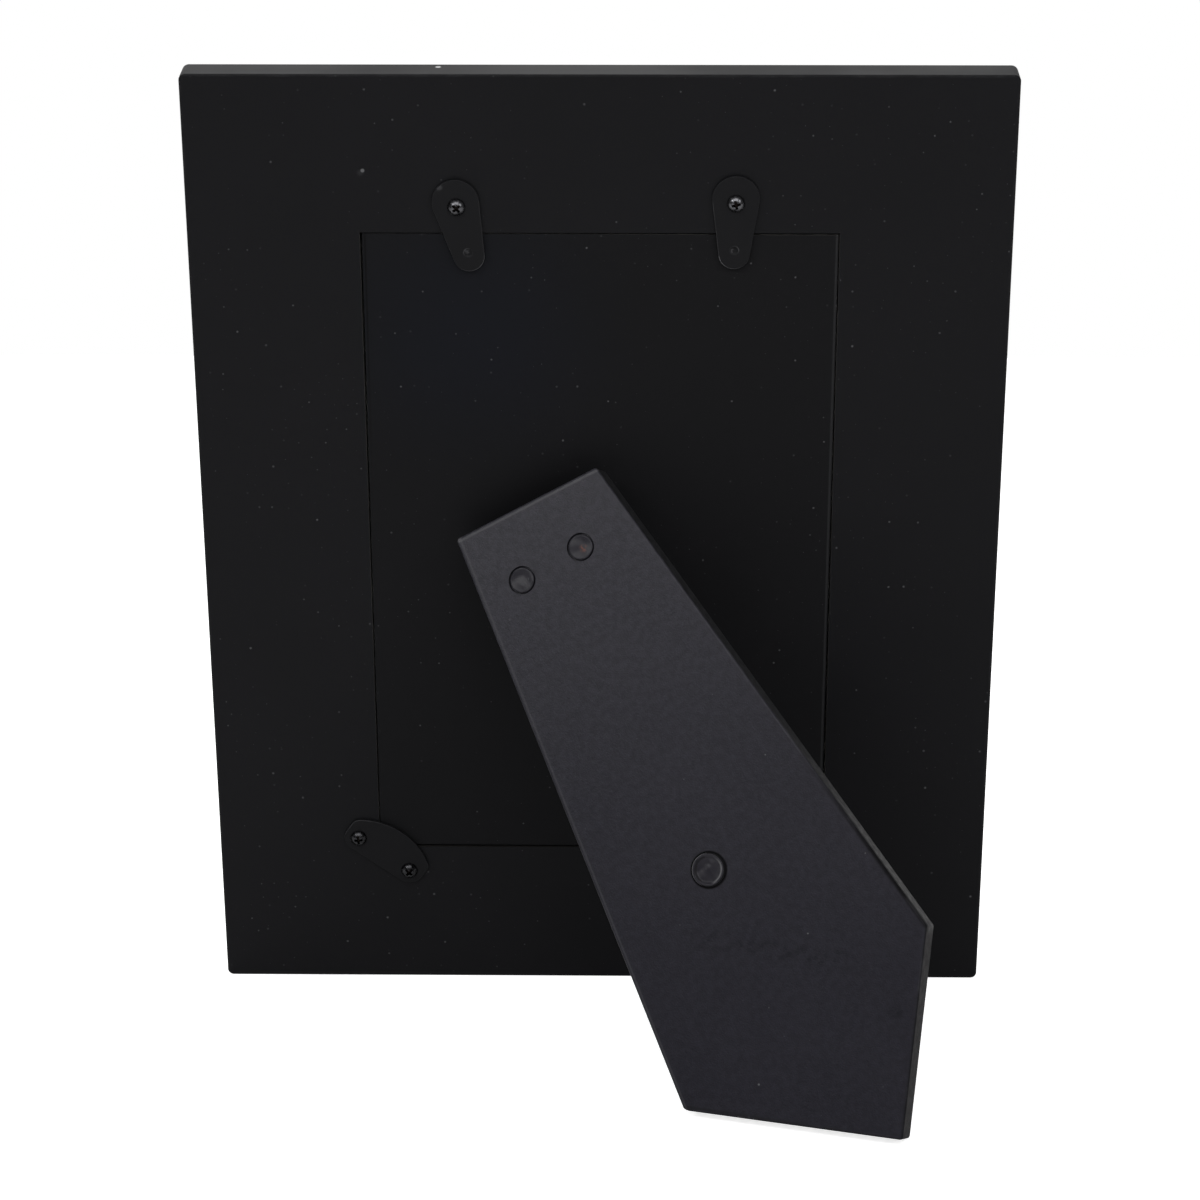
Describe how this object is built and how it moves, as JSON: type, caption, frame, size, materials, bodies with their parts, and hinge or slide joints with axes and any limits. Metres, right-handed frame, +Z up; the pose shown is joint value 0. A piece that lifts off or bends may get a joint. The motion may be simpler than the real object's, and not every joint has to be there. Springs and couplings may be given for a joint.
{
  "type": "easel back photo frame",
  "caption": "Flat black picture frame leaning on a hinged board leg, with a back panel held by swivel buttons and corner plates, a pane in front and a cloth stay.",
  "frame": {"origin": "on the table, under the middle of the overall box", "axes": "+Z up, -Y towards the viewer of the picture, +Y towards the leg"},
  "size_m": [0.185, 0.1142, 0.2274],
  "materials": {
    "frame_board": "black painted fibreboard, matt",
    "panel_board": "black faced fibreboard, matt",
    "leg_board": "dark grey paper-faced board",
    "glass": "clear, polished",
    "insert_card": "plain white card",
    "black_metal": "thin sheet, black, satin",
    "dark_screw": "blackened steel, worn bright",
    "black_rivet": "black, satin",
    "strap_cloth": "black woven ribbon"
  },
  "bodies": {
    "frame": {"frame_body": "frame_board", "glass_pane": "glass", "photo_insert": "insert_card", "back_panel": "panel_board", "turn_screw_left": "dark_screw", "turn_screw_right": "dark_screw", "corner_plate_left": "black_metal", "corner_plate_right": "black_metal", "corner_screws_left": "dark_screw", "corner_screws_right": "dark_screw", "hinge_leaf_panel": "black_metal", "hinge_pin": "dark_screw", "panel_rivets": "black_rivet", "stay_rivet_panel": "black_rivet", "stay_strap": "strap_cloth"},
    "leg": {"easel_leg": "leg_board", "hinge_leaf_leg": "black_metal", "leg_rivet_left": "black_rivet", "leg_rivet_right": "black_rivet", "stay_rivet_leg": "black_rivet"},
    "button_left": {"turn_button_left": "black_metal"},
    "button_right": {"turn_button_right": "black_metal"}
  },
  "joints": [
    {"name": "leg_fold", "type": "hinge", "parent": "frame", "child": "leg", "pos_m": [0.0141, -0.02374, 0.12227], "axis": [-0.848, 0.0993, 0.5205], "range_deg": [0, 35], "deforming": ["stay_strap"]},
    {"name": "button_left_turn", "type": "hinge", "parent": "frame", "child": "button_left", "pos_m": [0.03185, -0.01136, 0.19626], "axis": [0, 0.9823, -0.1874], "continuous": true},
    {"name": "button_right_turn", "type": "hinge", "parent": "frame", "child": "button_right", "pos_m": [-0.0304, -0.01118, 0.19719], "axis": [0, 0.9823, -0.1874], "continuous": true}
  ]
}
